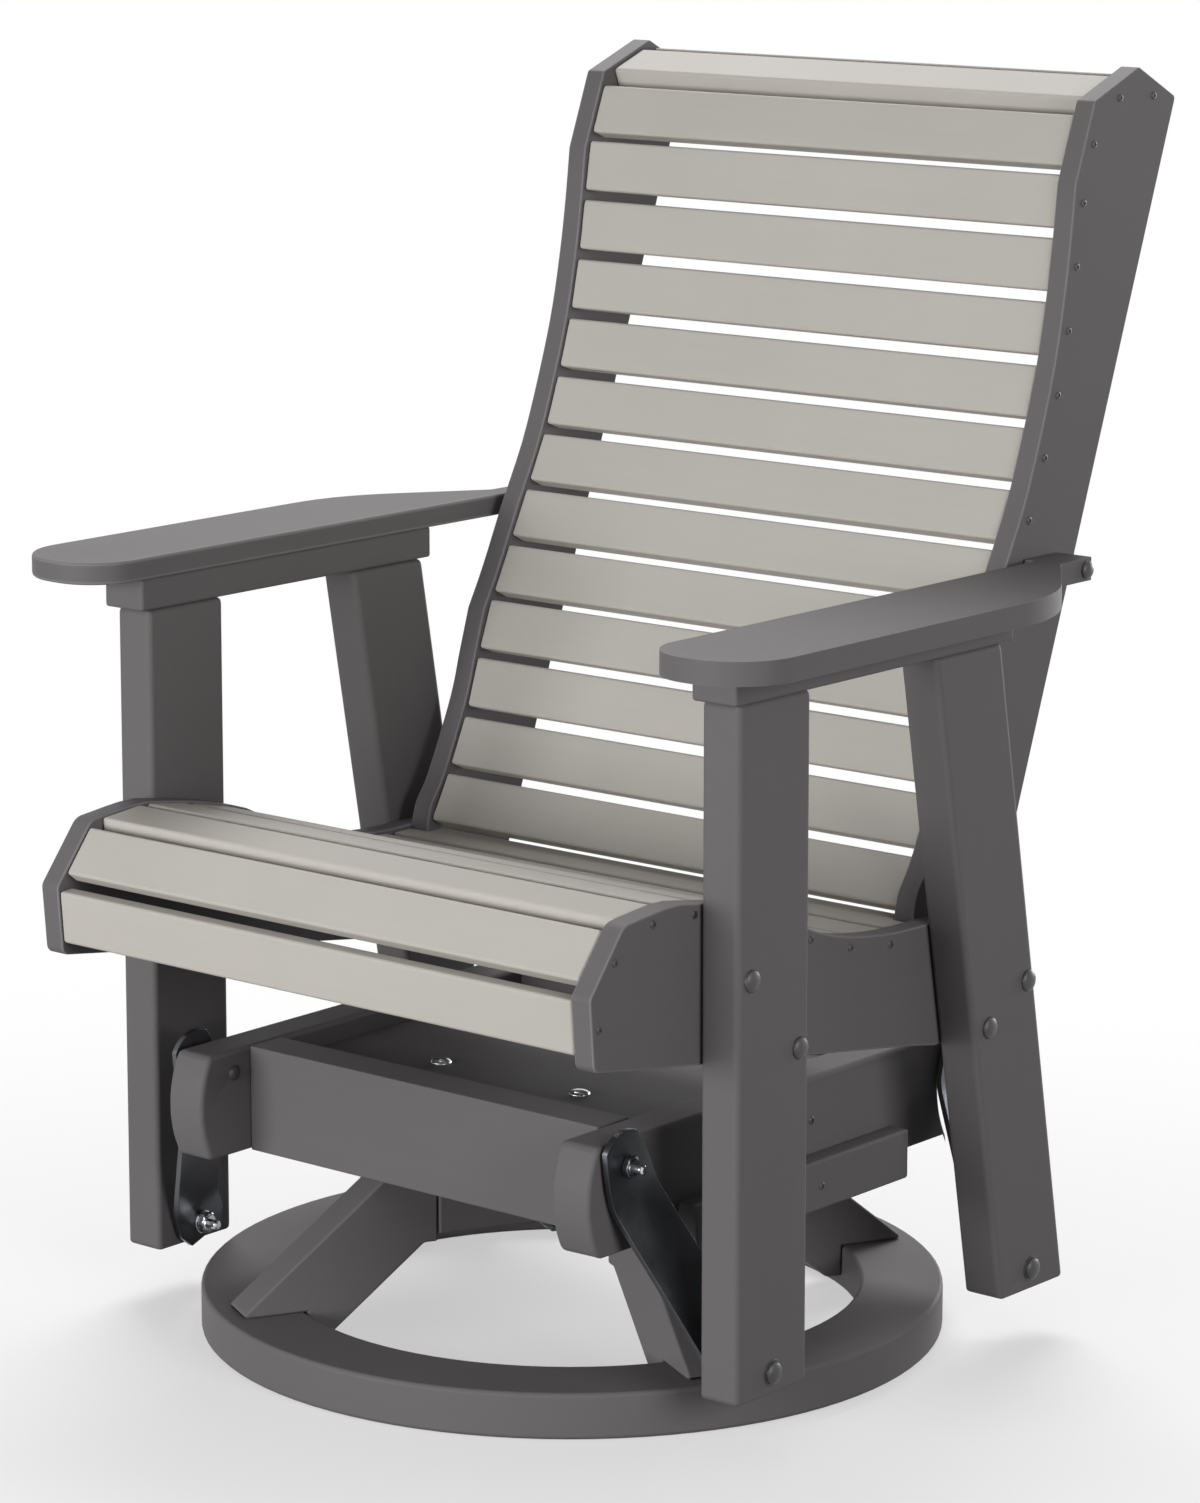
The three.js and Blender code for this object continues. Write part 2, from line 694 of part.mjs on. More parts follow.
function armrest(side) {
  const innerX = postInner - armrestInset;
  const outerX = innerX + armrestWidth;
  const front = frontPostFront - armrestFrontOverhang;
  const rear = front + armrestLength;
  const tongueInner = seatHalfWidth;
  const tongueFront = rear - tongueLength;
  const corners = [
    [innerX, front, armrestInnerRadius],
    [outerX, front, armrestOuterRadius],
    [outerX, tongueFront - armrestShoulderRun, armrestShoulderRadius],
    [tongueInner + tongueWidth, tongueFront, tongueRadius],
    [tongueInner + tongueWidth, rear, tongueRadius],
    [tongueInner, rear, tongueRadius],
    [tongueInner, tongueFront - tongueNotch, tongueRadius],
    [innerX, tongueFront - tongueNotch, tongueRadius],
  ].map(([x, y, radius]) => [side * x, y, radius]);
  const basis = new THREE.Matrix4().makeTranslation(0, 0, armrestBottom);
  return extruded(roundedOutline(corners), armrestThickness, basis);
}

function buildChair() {
  const chair = new THREE.Group();
  for (const [name, side] of sides) {
    chair.add(piece(`seat_rail_${name}`, seatRail(side), lumber));
    chair.add(piece(`back_stile_${name}`, stile(side), lumber));
    chair.add(piece(`front_post_${name}`, frontPost(side), lumber));
    chair.add(piece(`rear_post_${name}`, rearPost(side), lumber));
    chair.add(piece(`arm_cleat_${name}`, cleat(side), lumber));
    chair.add(piece(`armrest_${name}`, armrest(side), lumber));
  }
  addSeatSlats(chair);
  addBackSlats(chair);
  return chair;
}

const glider = new THREE.Group();
glider.add(buildBase(), buildCarriage(), buildSwingArms(), buildChair());
const extent = new THREE.Box3().setFromObject(glider, true);
glider.position.y = -(extent.min.y + extent.max.y) / 2;
glider.updateMatrixWorld(true);

export default glider;
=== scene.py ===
import json
import math
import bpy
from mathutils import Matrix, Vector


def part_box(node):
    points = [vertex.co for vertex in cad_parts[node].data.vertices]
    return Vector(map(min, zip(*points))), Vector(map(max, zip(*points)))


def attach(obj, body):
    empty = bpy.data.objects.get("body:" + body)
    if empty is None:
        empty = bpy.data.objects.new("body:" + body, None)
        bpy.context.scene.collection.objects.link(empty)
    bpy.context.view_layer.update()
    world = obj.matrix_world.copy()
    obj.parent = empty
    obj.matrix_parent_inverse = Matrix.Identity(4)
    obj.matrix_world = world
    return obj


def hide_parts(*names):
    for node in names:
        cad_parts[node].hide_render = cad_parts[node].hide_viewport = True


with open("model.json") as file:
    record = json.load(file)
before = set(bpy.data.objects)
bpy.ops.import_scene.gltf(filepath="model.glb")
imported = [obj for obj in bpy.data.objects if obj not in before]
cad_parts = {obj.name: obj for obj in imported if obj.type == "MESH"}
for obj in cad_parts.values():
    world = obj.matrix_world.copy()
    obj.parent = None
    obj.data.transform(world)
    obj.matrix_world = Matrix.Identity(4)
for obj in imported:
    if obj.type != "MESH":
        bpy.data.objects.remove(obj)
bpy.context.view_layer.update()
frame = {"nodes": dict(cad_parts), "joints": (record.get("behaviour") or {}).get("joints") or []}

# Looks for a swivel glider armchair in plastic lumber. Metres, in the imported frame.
import zlib

import bmesh
import bpy
from mathutils import Vector
from mathutils.bvhtree import BVHTree

NODES = frame["nodes"]
SCENE = bpy.context.scene
X, Z = Vector((1, 0, 0)), Vector((0, 0, 1))
SIDES = (("right", 1), ("left", -1))
QUARTER = math.pi / 2


# Materials

def linear(red, green, blue):
    """An sRGB colour in 0..255 as the linear colour that the shader takes."""
    parts = [c / 255 for c in (red, green, blue)]
    return tuple(c / 12.92 if c <= 0.04045 else ((c + 0.055) / 1.055) ** 2.4 for c in parts) + (1,)


def shade(colour, factor):
    return tuple(min(1.0, c * factor) for c in colour[:3]) + (1,)


class Nodes:
    """A short way to write a node tree: each call adds a node and links what it is given."""

    SHIFT_STEPS = (1, 0.7, 1.3)

    def __init__(self, owner):
        owner.use_nodes = True
        self.tree = owner.node_tree

    def add(self, kind, **settings):
        node = self.tree.nodes.new(kind)
        for key, value in settings.items():
            setattr(node, key, value)
        return node

    def link(self, source, target):
        self.tree.links.new(source, target)

    def coordinates(self, turn=(0, 0, 0), size=(1, 1, 1), shift=0.0):
        """Coordinates in a frame turned by turn, in which a unit is size metres long."""
        place = self.add("ShaderNodeTexCoord")
        mapping = self.add("ShaderNodeMapping", vector_type="TEXTURE")
        mapping.inputs["Rotation"].default_value = turn
        mapping.inputs["Scale"].default_value = size
        mapping.inputs["Location"].default_value = tuple(shift * s for s in self.SHIFT_STEPS)
        self.link(place.outputs["Object"], mapping.inputs["Vector"])
        return mapping.outputs["Vector"]

    def noise(self, vector, scale, detail, roughness):
        node = self.add("ShaderNodeTexNoise")
        node.inputs["Scale"].default_value = scale
        node.inputs["Detail"].default_value = detail
        node.inputs["Roughness"].default_value = roughness
        self.link(vector, node.inputs["Vector"])
        return node.outputs["Fac"]

    def ramp(self, source, low, high):
        """A colour ramp between two stops (position, colour)."""
        node = self.add("ShaderNodeValToRGB")
        first, last = node.color_ramp.elements
        (first.position, first.color), (last.position, last.color) = low, high
        self.link(source, node.inputs["Fac"])
        return node.outputs["Color"]

    def spread(self, source, low, high):
        """A value in 0..1 spread over low..high."""
        node = self.add("ShaderNodeMapRange")
        node.inputs["To Min"].default_value = low
        node.inputs["To Max"].default_value = high
        self.link(source, node.inputs["Value"])
        return node.outputs["Result"]

    def multiply(self, first, second):
        """The product of two colours."""
        node = self.add("ShaderNodeMix", data_type="RGBA", blend_type="MULTIPLY")
        sockets = {socket.name: socket for socket in node.inputs if socket.enabled}
        sockets["Factor"].default_value = 1.0
        self.link(first, sockets["A"])
        self.link(second, sockets["B"])
        return next(socket for socket in node.outputs if socket.enabled)

    def bump(self, height, strength, distance, normal=None):
        node = self.add("ShaderNodeBump")
        node.inputs["Strength"].default_value = strength
        node.inputs["Distance"].default_value = distance
        self.link(height, node.inputs["Height"])
        if normal is not None:
            self.link(normal, node.inputs["Normal"])
        return node.outputs["Normal"]

    def plain(self, kind, colour, strength=None):
        """A shader of one colour, such as a diffuse surface or a background."""
        node = self.add(kind)
        node.inputs["Color"].default_value = colour
        if strength is not None:
            node.inputs["Strength"].default_value = strength
        return node.outputs[0]

    def mix_shaders(self, factor, first, second):
        node = self.add("ShaderNodeMixShader")
        self.link(factor, node.inputs["Fac"])
        self.link(first, node.inputs[1])
        self.link(second, node.inputs[2])
        return node.outputs["Shader"]

    def seen(self):
        """1 for what is seen: by the camera, in a gloss or through glass. 0 for bounced light."""
        rays = self.add("ShaderNodeLightPath")
        share = rays.outputs["Is Camera Ray"]
        for ray in ("Is Glossy Ray", "Is Transmission Ray"):
            either = self.add("ShaderNodeMath", operation="MAXIMUM")
            self.link(share, either.inputs[0])
            self.link(rays.outputs[ray], either.inputs[1])
            share = either.outputs["Value"]
        return share


STREAK_SIZE, STREAK_RANGE = (0.30, 0.007, 0.007), ((0.3, 0.988), (0.7, 1.01))
MOTTLE_SCALE, MOTTLE_LOW, MOTTLE_HIGH = 9, (0.3, (0.96, 0.96, 0.962, 1)), (0.7, (1, 1, 1, 1))
PEBBLE_SCALE, PEBBLE_BUMP, STREAK_BUMP = 620, (0.10, 0.0004), (0.04, 0.0006)
LUMBER_ROUGHNESS, LUMBER_SPECULAR = (0.50, 0.62), 0.09
NAME_SEEDS, NAME_SPAN = 997, 97
HAZE_SCALE, HAZE_RANGE, HAZE_ROUGHNESS = 38, ((0.25, 0.88), (0.75, 1.08)), (0.8, 1.3)
GRAIN_SCALE, GRAIN_DEPTH, STEEL_SHIFT = 900, 0.0002, 0.3


def lumber(name, colour, turn):
    """Satin plastic lumber: fine streaks along the board, soft mottling and a faint pebble."""
    material = bpy.data.materials.new(name)
    n = Nodes(material)
    shader = n.tree.nodes["Principled BSDF"]
    shift = (zlib.crc32(name.encode()) % NAME_SEEDS) / NAME_SPAN
    streaks = n.noise(n.coordinates(turn, STREAK_SIZE, shift), 1.0, 4, 0.6)
    even = n.coordinates(shift=shift)
    mottle = n.noise(even, MOTTLE_SCALE, 3, 0.55)
    pebble = n.noise(even, PEBBLE_SCALE, 2, 0.5)
    streaked = n.ramp(streaks, *[(place, shade(colour, part)) for place, part in STREAK_RANGE])
    mottled = n.ramp(mottle, MOTTLE_LOW, MOTTLE_HIGH)
    n.link(n.multiply(streaked, mottled), shader.inputs["Base Color"])
    n.link(n.spread(mottle, *LUMBER_ROUGHNESS), shader.inputs["Roughness"])
    shader.inputs["Specular IOR Level"].default_value = LUMBER_SPECULAR
    fine = n.bump(pebble, *PEBBLE_BUMP)
    n.link(n.bump(streaks, *STREAK_BUMP, fine), shader.inputs["Normal"])
    return material


def metal(name, colour, roughness, metallic, grain_strength=0.08):
    """Coated or plated steel with a faint rolling grain and handling haze."""
    material = bpy.data.materials.new(name)
    n = Nodes(material)
    shader = n.tree.nodes["Principled BSDF"]
    even = n.coordinates(shift=STEEL_SHIFT)
    haze = n.noise(even, HAZE_SCALE, 4, 0.6)
    grain = n.noise(even, GRAIN_SCALE, 2, 0.6)
    hazed = n.ramp(haze, *[(place, shade(colour, part)) for place, part in HAZE_RANGE])
    n.link(hazed, shader.inputs["Base Color"])
    low, high = (roughness * part for part in HAZE_ROUGHNESS)
    n.link(n.spread(haze, low, high), shader.inputs["Roughness"])
    shader.inputs["Metallic"].default_value = metallic
    n.link(n.bump(grain, grain_strength, GRAIN_DEPTH), shader.inputs["Normal"])
    return material


DARK = linear(102, 99, 100)
PALE = linear(181, 177, 171)
# The first factor here lightens the dark lumber for the rounded edges of some boards: a painted
# highlight along those edges.
EDGE_HIGHLIGHT_LIFT, RING_GRAIN = 1.45, 0.6
BASE_TURN = math.radians(-28)
BACK_RAKE = math.radians(74)

ALONG_X, ALONG_Y, ALONG_Z = (0, 0, 0), (0, 0, QUARTER), (0, QUARTER, 0)
DARK_X = lumber("dark_lumber_x", DARK, ALONG_X)
DARK_Y = lumber("dark_lumber_y", DARK, ALONG_Y)
DARK_Z = lumber("dark_lumber_z", DARK, ALONG_Z)
DARK_BACK = lumber("dark_lumber_back", DARK, (BACK_RAKE, 0, QUARTER))
DARK_SHEET = lumber("dark_lumber_ring", DARK, (0, 0, RING_GRAIN))
DARK_LEG = {
    index: lumber(f"dark_lumber_leg_{index}", DARK, (0, 0, -(BASE_TURN + (index - 1) * QUARTER)))
    for index in (1, 2, 3, 4)
}
PALE_X = lumber("pale_lumber", PALE, ALONG_X)
# A lighter copy of the dark lumber for rounded edges: a painted highlight.
PAINTED_EDGE_HIGHLIGHT = lumber("dark_lumber_edge", shade(DARK, EDGE_HIGHLIGHT_LIFT), ALONG_Y)
BLACK = metal("black_coat", linear(90, 92, 96), 0.32, 1.0, 0.02)
ZINC = metal("zinc_plate", linear(196, 198, 200), 0.20, 1.0)
BOLT = metal("dark_bolt", linear(62, 60, 61), 0.40, 0.0)
SCREW = metal("dark_screw", linear(58, 56, 57), 0.40, 0.0)


def lumber_of(node):
    if node.startswith(("seat_slat", "back_slat", "cap_slat")):
        return PALE_X
    if node.startswith("base_leg"):
        return DARK_LEG[int(node[-1])]
    if node == "base_ring":
        return DARK_SHEET
    if node.startswith(("front_post", "rear_post")):
        return DARK_Z
    if node.startswith("back_stile"):
        return DARK_BACK
    if node.startswith(("carriage_rail", "carriage_skirt", "seat_rail", "arm")):
        return DARK_Y
    return DARK_X


# Boards and plates

STEEL_NODES = {
    "hub_bottom_plate": BLACK,
    "swivel_lower_plate": ZINC,
    "swivel_upper_plate": ZINC,
    "swivel_ball_race": ZINC,
}
STEEL_ROUND = 0.0008
LUMBER_ROUNDS = {
    ("seat_slat", "back_slat", "cap_slat"): 0.0028,
    ("front_post", "rear_post"): 0.0056,
    ("carriage_rail",): 0.0045,
    ("base_ring",): 0.0040,
    ("hub_board", "arm_cleat", "armrest", "carriage_skirt"): 0.0028,
    ("base_leg",): 0.0024,
    ("seat_rail", "back_stile", "carriage_front", "carriage_rear", "swivel_board"): 0.0014,
}
WELD_GAP, FLAT, SHARP = 1e-5, math.radians(0.4), math.radians(35)
DRILLED, DRILL_FACET = ("front_post", "rear_post", "carriage_rail", "base_leg"), 0.0025
# Boards whose rounded edges get the lighter edge material, a painted highlight.
EDGE_HIGHLIGHT_NODES = ("seat_rail", "back_stile", "armrest")
FULL_WEIGHT = 100


def long_edge_marks():
    """A node group that marks for the bevel each sharp edge that is no facet of a drilled hole."""
    tree = bpy.data.node_groups.new("long_edge_marks", "GeometryNodeTree")
    for way in ("INPUT", "OUTPUT"):
        tree.interface.new_socket("Geometry", in_out=way, socket_type="NodeSocketGeometry")

    def add(kind, **settings):
        node = tree.nodes.new(kind)
        for key, value in settings.items():
            setattr(node, key, value)
        return node

    def above(value, limit):
        node = add("FunctionNodeCompare", data_type="FLOAT", operation="GREATER_THAN")
        node.inputs["B"].default_value = limit
        tree.links.new(value, node.inputs["A"])
        return node.outputs["Result"]

    ends = add("GeometryNodeInputMeshEdgeVertices")
    length = add("ShaderNodeVectorMath", operation="DISTANCE")
    tree.links.new(ends.outputs["Position 1"], length.inputs[0])
    tree.links.new(ends.outputs["Position 2"], length.inputs[1])
    angle = add("GeometryNodeInputMeshEdgeAngle")
    both = add("FunctionNodeBooleanMath", operation="AND")
    tree.links.new(above(length.outputs["Value"], DRILL_FACET), both.inputs[0])
    tree.links.new(above(angle.outputs["Unsigned Angle"], SHARP), both.inputs[1])
    store = add("GeometryNodeStoreNamedAttribute", data_type="FLOAT", domain="EDGE")
    store.inputs["Name"].default_value = "bevel_weight_edge"
    tree.links.new(both.outputs["Boolean"], store.inputs["Value"])
    tree.links.new(add("NodeGroupInput").outputs["Geometry"], store.inputs["Geometry"])
    tree.links.new(store.outputs["Geometry"], add("NodeGroupOutput").inputs["Geometry"])
    return tree


LONG_EDGES = long_edge_marks()


def ease(piece, radius, segments, drilled=False):
    """Rounds a piece's edges with modifiers, as a router does, and keeps its flat faces flat."""
    piece.modifiers.new("weld", "WELD").merge_threshold = WELD_GAP
    flat = piece.modifiers.new("flat", "DECIMATE")
    flat.decimate_type = "DISSOLVE"
    flat.angle_limit = FLAT
    if drilled:
        piece.modifiers.new("marks", "NODES").node_group = LONG_EDGES
    bevel = piece.modifiers.new("ease", "BEVEL")
    bevel.width = radius
    bevel.segments = segments
    bevel.limit_method = "WEIGHT" if drilled else "ANGLE"
    bevel.angle_limit = SHARP
    bevel.use_clamp_overlap = not drilled
    # A second material, where a piece has one, goes on the rounded edges as a painted highlight.
    if len(piece.data.materials) > 1:
        bevel.material = 1
    piece.modifiers.new("even", "WEIGHTED_NORMAL").weight = FULL_WEIGHT


def dress(piece, material):
    piece.data.materials.clear()
    piece.data.materials.append(material)
    piece.data.polygons.foreach_set("use_smooth", [True] * len(piece.data.polygons))


for node_name, node in NODES.items():
    if node_name.startswith("swing_arm"):
        continue
    if node_name in STEEL_NODES:
        dress(node, STEEL_NODES[node_name])
        ease(node, STEEL_ROUND, 2)
        continue
    dress(node, lumber_of(node_name))
    # These boards get the lighter edge material as a second slot: a painted highlight on their
    # rounded edges.
    if node_name.startswith(EDGE_HIGHLIGHT_NODES):
        node.data.materials.append(PAINTED_EDGE_HIGHLIGHT)
    radius = next(size for names, size in LUMBER_ROUNDS.items() if node_name.startswith(names))
    ease(node, radius, 3, drilled=node_name.startswith(DRILLED))


# Fasteners: rings (radius, height, corners) round an axis

ROUND, SQUARE, HEXAGON = 0, 4, 6
RING_SIDES = 24
SINK = 0.0004
BOLT_RADIUS, BOLT_HEIGHT, TONGUE_BOLT_RADIUS = 0.009, 0.0045, 0.0077
RAIL_BOLT_RADIUS, RAIL_BOLT_HEIGHT = 0.0064, 0.0034
DOME_RIM, DOME_STEPS = 0.22, 7
SCREW_RADIUS, SCREW_HEIGHT, SCREW_DRIVE = 0.0034, 0.0009, 0.0014
PIN_RADIUS, PIN_CHAMFER, THREAD_DEPTH, THREAD_PITCH = 0.0039, 0.72, 0.0002, 0.0016
NUT_FLAT, NUT_HEIGHT, NUT_COLLAR = 0.0080, 0.0060, 0.0012
COLLAR_FOOT, COLLAR_TOP, COLLAR_BORE = 0.84, 0.80, 1.1
LAG_FLAT, LAG_HEIGHT = 0.0062, 0.0045
HEX_TURNED, HEX_SHOULDER = 0.94, 0.12
FLANGE_RADIUS, FLANGE_THICKNESS = 0.0098, 0.0022
DISC_BROKEN = 0.15


def dome(radius=BOLT_RADIUS, height=BOLT_HEIGHT):
    """The head of a carriage bolt: a short upright rim and a crown."""
    rim = DOME_RIM * height
    rings = [(radius, -SINK, ROUND), (radius, rim, ROUND)]
    for step in range(1, DOME_STEPS):
        angle = math.pi / 2 * step / DOME_STEPS
        rise = rim + (height - rim) * math.sin(angle)
        rings.append((radius * math.cos(angle), rise, ROUND))
    return rings + [(0, height, ROUND)]


def screw_head():
    """A low head with a square drive."""
    drive_floor = SCREW_HEIGHT / 4
    return [
        (SCREW_RADIUS, -SINK, ROUND),
        (SCREW_RADIUS, SCREW_HEIGHT / 3, ROUND),
        (SCREW_RADIUS * 0.85, SCREW_HEIGHT * 0.85, ROUND),
        (SCREW_RADIUS * 0.66, SCREW_HEIGHT, ROUND),
        (SCREW_DRIVE, SCREW_HEIGHT, SQUARE),
        (SCREW_DRIVE * 0.9, drive_floor, SQUARE),
        (0, drive_floor, ROUND),
    ]


def disc(radius, thickness):
    """A washer or spacer with broken edges. The bolt fills its bore."""
    broken = DISC_BROKEN * thickness
    return [
        (radius - broken, 0, ROUND),
        (radius, broken, ROUND),
        (radius, thickness - broken, ROUND),
        (radius - broken, thickness, ROUND),
        (0, thickness, ROUND),
    ]


def hexagon(flat, height):
    """A six-sided head or nut with turned shoulders."""
    shoulder = HEX_SHOULDER * height
    return [
        (flat * HEX_TURNED, 0, ROUND),
        (flat, shoulder, HEXAGON),
        (flat, height - shoulder, HEXAGON),
        (flat * HEX_TURNED, height, ROUND),
        (0, height, ROUND),
    ]


def lock_nut():
    """A nut with the round collar that holds its insert."""
    top = NUT_HEIGHT + NUT_COLLAR
    return hexagon(NUT_FLAT, NUT_HEIGHT)[:-1] + [
        (NUT_FLAT * COLLAR_FOOT, NUT_HEIGHT, ROUND),
        (NUT_FLAT * COLLAR_TOP, top, ROUND),
        (PIN_RADIUS * COLLAR_BORE, top, ROUND),
        (0, top, ROUND),
    ]


def threaded_end(length):
    """The end of a bolt: thread crests and roots, then a chamfer."""
    rings = [(PIN_RADIUS, 0, ROUND)]
    for turn in range(int(length / THREAD_PITCH) - 1):
        crest = (turn + 0.5) * THREAD_PITCH
        rings.append((PIN_RADIUS, crest, ROUND))
        rings.append((PIN_RADIUS - THREAD_DEPTH, crest + THREAD_PITCH / 2, ROUND))
    return rings + [
        (PIN_RADIUS, length - THREAD_PITCH, ROUND),
        (PIN_RADIUS * PIN_CHAMFER, length, ROUND),
        (0, length, ROUND),
    ]


def finished(name, form, body, material, sharp=SHARP):
    """Turns a bmesh into a piece that rides a body."""
    mesh = bpy.data.meshes.new(name)
    form.to_mesh(mesh)
    form.free()
    mesh.polygons.foreach_set("use_smooth", [True] * len(mesh.polygons))
    mesh.set_sharp_from_angle(angle=sharp)
    mesh.materials.append(material)
    piece = bpy.data.objects.new(name, mesh)
    SCENE.collection.objects.link(piece)
    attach(piece, body)
    return piece


def turned(name, rings, seats, body, material):
    """One piece with the rings at each seat (point, direction)."""
    form = bmesh.new()
    for point, direction in seats:
        turn = direction.to_track_quat("Z", "Y")
        last = None
        for radius, height, corners in rings:
            circle = []
            for index in range(RING_SIDES if radius else 1):
                angle = 2 * math.pi * index / RING_SIDES
                flat = 2 * math.pi / corners if corners else 0
                reach = radius / math.cos(angle % flat - flat / 2) if corners else radius
                local = Vector((reach * math.cos(angle), reach * math.sin(angle), height))
                circle.append(form.verts.new(point + turn @ local))
            if last is None:
                form.faces.new(reversed(circle))
            else:
                for index in range(RING_SIDES):
                    after = (index + 1) % RING_SIDES
                    top = [circle[after], circle[index]] if radius else circle
                    form.faces.new([last[index], last[after], *top])
            last = circle
    finished(name, form, body, material)


PIVOTS = {joint["name"]: Vector(joint["pos_m"]) for joint in frame["joints"]}
SWIVEL_AXIS = PIVOTS["swivel"]
BOARD_SCREWS = (
    ("seat", "seat_rail", ("seat_slat",), ("front_post", "rear_post")),
    ("back", "back_stile", ("back_slat", "cap_slat"), ("seat_rail", "arm_cleat", "armrest")),
)
CARRIAGE_SCREWS = (("carriage_rail", 0.033, 0.204), ("carriage_skirt", 0.022, 0.155))
POST_BOLTS = {
    "front_post": ((-0.2481, 0.3787), (-0.1881, 0.3142)),
    "rear_post": ((0.1149, 0.3081), (0.0619, 0.2791)),
}
TONGUE_FACE, TONGUE_BOLT = 0.3095, (0.2198, 0.6312)
COVER_REACH = 2 * BOLT_HEIGHT
TREES = {}


def covered(point, direction, nodes):
    """Whether one of the nodes lies right in front of a point, as a post does on a rail."""
    for node in nodes:
        if node not in TREES:
            graph = bpy.context.evaluated_depsgraph_get()
            TREES[node] = BVHTree.FromObject(NODES[node], graph)
        if TREES[node].ray_cast(point, direction, COVER_REACH)[0]:
            return True
    return False


def middle(node):
    low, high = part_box(node)
    return (low + high) / 2


def outer_face(node, side):
    low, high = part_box(node)
    return high.x if side > 0 else low.x


def board_fasteners(name, side):
    """The screws in one side's slat ends and rails, and the bolts in its posts and armrest."""
    away = X * side
    for label, board, slats, covers in BOARD_SCREWS:
        face = outer_face(f"{board}_{name}", side)
        cover_nodes = [f"{cover}_{name}" for cover in covers]
        points = [Vector((face, *middle(node).yz)) for node in NODES if node.startswith(slats)]
        seats = [(point, away) for point in points if not covered(point, away, cover_nodes)]
        turned(f"{label}_screws_{name}", screw_head(), seats, "chair", SCREW)

    seats = []
    for board, spread, height in CARRIAGE_SCREWS:
        face = outer_face(f"{board}_{name}", side)
        for offset in (-spread, spread):
            seats.append((Vector((face, SWIVEL_AXIS.y + offset, height)), away))
    turned(f"carriage_screws_{name}", screw_head(), seats, "carriage", SCREW)

    seats = []
    for post, places in POST_BOLTS.items():
        face = outer_face(f"{post}_{name}", side)
        seats += [(Vector((face, *place)), away) for place in places]
    turned(f"post_bolts_{name}", dome(), seats, "chair", BOLT)
    seats = [(Vector((side * TONGUE_FACE, *TONGUE_BOLT)), away)]
    head = dome(TONGUE_BOLT_RADIUS)
    turned(f"armrest_bolt_{name}", head, seats, "chair", BOLT)


PLATE_BOLT_X, PLATE_BOLT_Y, PLATE_THICKNESS = 0.075, 0.079, 0.0048
LAG_CIRCLE, HUB_LAG_CIRCLE = 0.078, 0.019


def plate_fasteners():
    """Bolts through the swivel board and its plate, and the lag heads of the hub's two plates."""
    board_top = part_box("swivel_board")[1].z
    plate_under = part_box("swivel_upper_plate")[1].z - PLATE_THICKNESS
    spots = [
        SWIVEL_AXIS + Vector((x * PLATE_BOLT_X, y * PLATE_BOLT_Y, 0))
        for x in (-1, 1) for y in (-1, 1)
    ]
    seats = [(Vector((*spot.xy, board_top)), Z) for spot in spots]
    turned("swivel_board_bolts", dome(), seats, "carriage", ZINC)
    seats = [(Vector((*spot.xy, plate_under)), -Z) for spot in spots]
    turned("swivel_board_nuts", lock_nut(), seats, "carriage", ZINC)

    lower_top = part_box("swivel_lower_plate")[0].z + PLATE_THICKNESS
    hub_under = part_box("hub_bottom_plate")[0].z
    seats = []
    for quarter in range(4):
        angle = BASE_TURN + quarter * QUARTER
        out = Vector((math.cos(angle), math.sin(angle), 0))
        spot = SWIVEL_AXIS + LAG_CIRCLE * out
        seats.append((Vector((*spot.xy, lower_top)), Z))
        spot = SWIVEL_AXIS + HUB_LAG_CIRCLE * out
        seats.append((Vector((*spot.xy, hub_under)), -Z))
    head = hexagon(LAG_FLAT, LAG_HEIGHT)
    turned("hub_lag_heads", head, seats, "base", ZINC)


# Swing arms: a pressed strip between two pivots, with the bolt, nut and washers of each

PIVOT_SPAN = 0.34565
ARM_WIDTH, ARM_PLATE, ARM_SPACER, TOUCH = 0.053, 0.0048, 0.003, 0.0003
ARM_TOP_RADIUS, ARM_TOP_TURN, ARM_SHOULDER = 0.0293, math.radians(41.4), 0.045
ARM_FOOT_REACH, ARM_FOOT_NOSE = 0.0135, 0.036
ARM_BEND_TOP, ARM_BEND_FOOT, ARM_BEND_SOFT = 0.028, 0.017, 0.009
ARM_COLUMNS, ARM_STEPS, ARM_ROW_STEP = 8, 6, 0.006
ARM_SHARP, ARM_ROUND = math.radians(50), 0.0011
SPACER_RADIUS, PIVOT_WASHER_RADIUS, PIVOT_WASHER = 0.0127, 0.0106, 0.0008
TOP_STUB, FOOT_STUB = 0.0110, 0.0130


def arm_rows(length):
    """The strip's outline as rows (distance along, half width), from round top to clipped foot."""
    half = ARM_WIDTH / 2
    rows = []
    for step in range(1, ARM_STEPS + 1):
        angle = ARM_TOP_TURN * step / ARM_STEPS
        rows.append((-ARM_TOP_RADIUS * math.cos(angle), ARM_TOP_RADIUS * math.sin(angle)))
    kink, kink_half = rows[-1]
    for step in range(1, ARM_STEPS + 1):
        rise = math.sin(math.pi / 2 * step / ARM_STEPS)
        run = kink + ARM_SHOULDER * step / ARM_STEPS
        rows.append((run, kink_half + (half - kink_half) * rise))
    start = rows[-1][0]
    count = math.ceil((length - start) / ARM_ROW_STEP)
    for step in range(1, count + 1):
        rows.append((start + (length - start) * step / count, half))
    rows.append((length + ARM_FOOT_REACH, ARM_FOOT_NOSE / 2))
    return rows


def soft_ramp(run):
    """Zero before a bend, the run after it, and a parabola through it: value and slope."""
    if abs(run) >= ARM_BEND_SOFT:
        return (run, 1) if run > 0 else (0, 0)
    bent = run + ARM_BEND_SOFT
    return bent ** 2 / (4 * ARM_BEND_SOFT), bent / (2 * ARM_BEND_SOFT)


